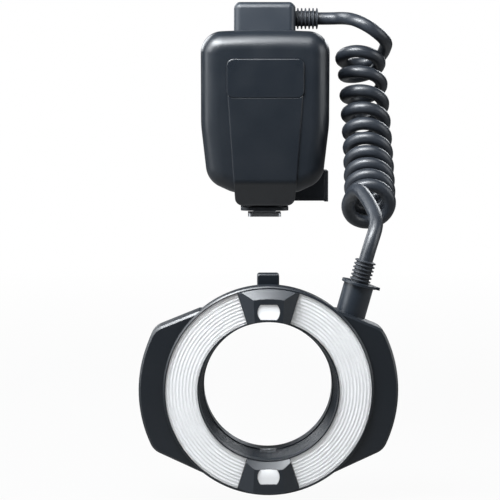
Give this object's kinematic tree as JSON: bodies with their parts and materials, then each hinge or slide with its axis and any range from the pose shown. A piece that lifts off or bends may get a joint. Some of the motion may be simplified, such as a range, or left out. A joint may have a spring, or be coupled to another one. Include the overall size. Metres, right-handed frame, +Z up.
{
  "type": "macro ring flash",
  "caption": "Ring flash for close-up photography: shoe-mounted control unit, coiled cord and a ring head with two ribbed diffusers and lamp blocks.",
  "frame": {"origin": "centre of the underside of the control unit's shoe foot", "axes": "+Z up, -Y towards the lit face of the head, +X to the right of someone who faces it"},
  "size_m": [0.1345, 0.1909, 0.2464],
  "materials": {
    "black_shell": "fine-grained charcoal moulding",
    "black_gloss": "satin name plate",
    "black_rubber": "matt",
    "cord_black": "satin cord jacket",
    "foot_metal": "brushed",
    "brass": "plated contact",
    "steel": "bright",
    "key_plastic": "satin key",
    "lcd_glass": "clear window",
    "lcd_film": "grey-green display",
    "board_green": "circuit board",
    "capacitor_sleeve": "shrink sleeve",
    "signal_lens": "tinted lens",
    "diffuser_white": "ribbed diffuser",
    "reflector_metal": "polished sheet",
    "tube_glass": "clear quartz",
    "lens_glass": "clear",
    "emitter": "lamp die",
    "ring_metal": "black anodised"
  },
  "bodies": {
    "control_unit": {"battery_contacts": "brass", "battery_tray": "black_shell", "confirmation_lamp": "signal_lens", "control_board": "board_green", "cord_coil": "cord_black", "cord_outlet_housing": "black_shell", "front_name_plate": "black_gloss", "front_shell": "black_shell", "head_board": "board_green", "head_cord_boot": "black_rubber", "head_cord_socket": "black_shell", "head_front_ring": "black_shell", "head_latch_spring": "steel", "head_rear_shell": "black_shell", "head_screws": "steel", "lamp_emitters": "emitter", "lamp_lenses": "lens_glass", "lamp_reflectors": "reflector_metal", "lcd_panel": "lcd_film", "lcd_window": "lcd_glass", "left_diffuser": "diffuser_white", "left_flash_tube": "tube_glass", "left_reflector": "reflector_metal", "lower_cord_lead": "cord_black", "lower_lamp_block": "black_shell", "main_board": "board_green", "main_capacitor": "capacitor_sleeve", "mount_ring": "ring_metal", "rear_shell": "black_shell", "right_diffuser": "diffuser_white", "right_flash_tube": "tube_glass", "right_reflector": "reflector_metal", "shoe_contacts": "brass", "shoe_foot": "foot_metal", "shoe_skirt": "black_rubber", "socket_body": "black_rubber", "unit_screws": "steel", "upper_cord_boot": "black_rubber", "upper_cord_lead": "cord_black", "upper_lamp_block": "black_shell"},
    "head_release": {"head_release_button": "black_shell", "head_latch_slide": "steel"},
    "lock_lever": {"lock_lever": "black_shell"},
    "lock_pin": {"lock_pin": "steel"},
    "lock_release": {"lock_release_button": "key_plastic"},
    "battery_slide": {"battery_door_hinge_pin": "steel"},
    "battery_door": {"battery_door": "black_shell", "door_contacts": "brass"},
    "select_dial": {"select_dial": "key_plastic"},
    "power_switch": {"power_switch": "key_plastic"},
    "socket_cover": {"socket_cover": "black_rubber"},
    "function_button_1": {"function_button_1": "key_plastic"},
    "function_button_2": {"function_button_2": "key_plastic"},
    "function_button_3": {"function_button_3": "key_plastic"},
    "function_button_4": {"function_button_4": "key_plastic"},
    "mode_button": {"mode_button": "key_plastic"},
    "lamp_button": {"lamp_button": "key_plastic"},
    "menu_button": {"menu_button": "key_plastic"},
    "test_button": {"test_button": "key_plastic"},
    "set_button": {"set_button": "key_plastic"}
  },
  "joints": [
    {"name": "head_release", "type": "slide", "parent": "control_unit", "child": "head_release", "axis": [0, 0, -1], "range_m": [0, 0.002], "stiffness_N_per_m": 600, "springref_m": -0.002, "deforming": ["head_latch_spring"]},
    {"name": "battery_slide", "type": "slide", "parent": "control_unit", "child": "battery_slide", "axis": [0, 1, 0], "range_m": [0, 0.003]},
    {"name": "battery_door", "type": "hinge", "parent": "battery_slide", "child": "battery_door", "pos_m": [-0.0334, 0.0044, 0.0665], "axis": [0, 0, 1], "range_deg": [0, 90]},
    {"name": "lock_lever", "type": "hinge", "parent": "control_unit", "child": "lock_lever", "pos_m": [0, 0.0116, 0.0091], "axis": [0, 0, -1], "range_deg": [0, 44]},
    {"name": "lock_pin", "type": "slide", "parent": "control_unit", "child": "lock_pin", "axis": [0, 0, -1], "range_m": [0, 0.0016]},
    {"name": "lock_release", "type": "slide", "parent": "lock_lever", "child": "lock_release", "axis": [0.3746, -0.9272, 0], "range_m": [0, 0.0012], "stiffness_N_per_m": 300, "springref_m": -0.0005},
    {"name": "select_dial", "type": "hinge", "parent": "control_unit", "child": "select_dial", "pos_m": [0, 0.035, 0.0465], "axis": [0, 1, 0], "continuous": true},
    {"name": "power_switch", "type": "slide", "parent": "control_unit", "child": "power_switch", "axis": [1, 0, 0], "range_m": [0, 0.008]},
    {"name": "socket_cover", "type": "hinge", "parent": "control_unit", "child": "socket_cover", "pos_m": [0.0354, 0.0249, 0.0165], "axis": [0, 0, 1], "range_deg": [0, 110]},
    {"name": "function_button_1_press", "type": "slide", "parent": "control_unit", "child": "function_button_1", "axis": [0, -1, 0], "range_m": [0, 0.0008], "stiffness_N_per_m": 400, "springref_m": -0.0005},
    {"name": "function_button_2_press", "type": "slide", "parent": "control_unit", "child": "function_button_2", "axis": [0, -1, 0], "range_m": [0, 0.0008], "stiffness_N_per_m": 400, "springref_m": -0.0005},
    {"name": "function_button_3_press", "type": "slide", "parent": "control_unit", "child": "function_button_3", "axis": [0, -1, 0], "range_m": [0, 0.0008], "stiffness_N_per_m": 400, "springref_m": -0.0005},
    {"name": "function_button_4_press", "type": "slide", "parent": "control_unit", "child": "function_button_4", "axis": [0, -1, 0], "range_m": [0, 0.0008], "stiffness_N_per_m": 400, "springref_m": -0.0005},
    {"name": "mode_button_press", "type": "slide", "parent": "control_unit", "child": "mode_button", "axis": [0, -1, 0], "range_m": [0, 0.0008], "stiffness_N_per_m": 400, "springref_m": -0.0005},
    {"name": "lamp_button_press", "type": "slide", "parent": "control_unit", "child": "lamp_button", "axis": [0, -1, 0], "range_m": [0, 0.0008], "stiffness_N_per_m": 400, "springref_m": -0.0005},
    {"name": "menu_button_press", "type": "slide", "parent": "control_unit", "child": "menu_button", "axis": [0, -1, 0], "range_m": [0, 0.0008], "stiffness_N_per_m": 400, "springref_m": -0.0005},
    {"name": "test_button_press", "type": "slide", "parent": "control_unit", "child": "test_button", "axis": [0, -1, 0], "range_m": [0, 0.0008], "stiffness_N_per_m": 400, "springref_m": -0.0005},
    {"name": "set_button_press", "type": "slide", "parent": "control_unit", "child": "set_button", "axis": [0, -1, 0], "range_m": [0, 0.0008], "stiffness_N_per_m": 400, "springref_m": -0.0005}
  ],
  "couplings": [
    {"joint": "lock_pin", "follows": "lock_lever", "m_per_rad": 0.0020835}
  ]
}
